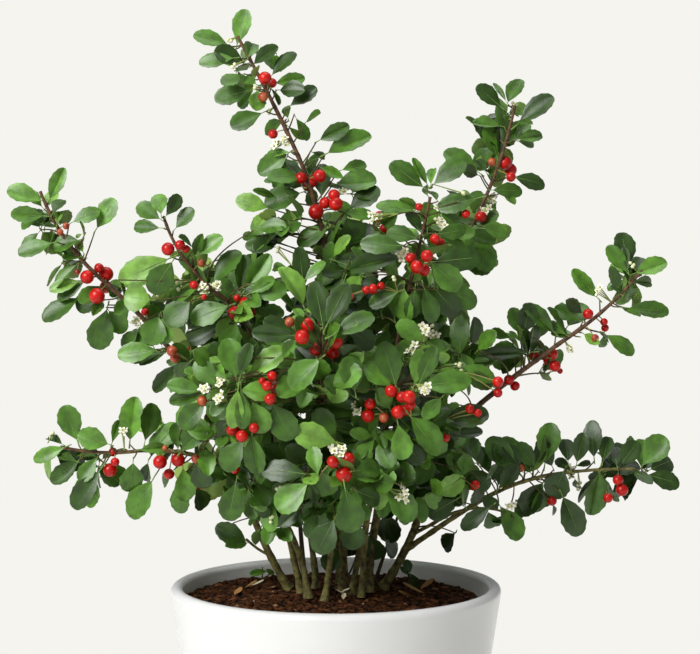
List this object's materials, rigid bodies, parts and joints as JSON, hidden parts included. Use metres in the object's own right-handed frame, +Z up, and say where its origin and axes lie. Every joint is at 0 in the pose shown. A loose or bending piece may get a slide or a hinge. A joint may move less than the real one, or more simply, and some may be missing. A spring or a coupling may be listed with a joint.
{
  "type": "potted yaupon holly",
  "caption": "Many-stemmed evergreen holly shrub with red berries and small white flowers, standing in a plain white glazed pot.",
  "frame": {"origin": "middle of the pot's flat underside", "axes": "+Z up, -Y towards the front of the picture, +X to the right seen from the front"},
  "size_m": [0.4235, 0.2893, 0.5509],
  "materials": {
    "glazed_pot": "gloss",
    "potting_soil": "matte",
    "stem_bark": "matte",
    "bough_bark": "matte",
    "leaves": "satin"
  },
  "bodies": {
    "root": {"pot": "glazed_pot", "soil": "potting_soil", "stem_far_left": "stem_bark", "stem_left": "stem_bark", "stem_low_left": "stem_bark", "stem_rear_left": "stem_bark", "stem_front": "stem_bark", "stem_leader": "stem_bark", "stem_centre_right": "stem_bark", "stem_front_right": "stem_bark", "stem_right_upper": "stem_bark", "stem_rear_right": "stem_bark", "stem_far_right": "stem_bark", "stem_rear": "stem_bark", "bough_low_right": "bough_bark", "bough_under_right": "bough_bark", "bough_low_twig": "bough_bark", "bough_rear_leader": "bough_bark", "foliage_far_left_inner": "leaves", "foliage_far_left_tip": "leaves", "foliage_left_arm": "leaves", "foliage_low_left_inner": "leaves", "foliage_low_left_tip": "leaves", "foliage_leader_inner": "leaves", "foliage_leader_tip": "leaves", "foliage_centre_right_tip": "leaves", "foliage_right_upper": "leaves", "foliage_far_right_inner": "leaves", "foliage_far_right_tip": "leaves", "foliage_low_right_inner": "leaves", "foliage_low_right_tip": "leaves", "foliage_under_right": "leaves", "foliage_low_twig": "leaves", "foliage_rear_leader": "leaves", "foliage_rear_left_arm": "leaves", "foliage_rear_right_arm": "leaves", "foliage_rear_arm": "leaves", "foliage_heart": "leaves", "foliage_front_left": "leaves", "foliage_front": "leaves", "foliage_front_right": "leaves", "foliage_front_low": "leaves", "foliage_front_low_left": "leaves", "foliage_front_low_right": "leaves", "foliage_left": "leaves", "foliage_left_high": "leaves", "foliage_left_upper": "leaves", "foliage_centre_high": "leaves", "foliage_right_high": "leaves", "foliage_right": "leaves", "foliage_rear_left": "leaves", "foliage_rear": "leaves", "foliage_rear_right": "leaves", "foliage_rear_high": "leaves", "foliage_rear_low_left": "leaves", "foliage_rear_low_right": "leaves"}
  },
  "joints": []
}
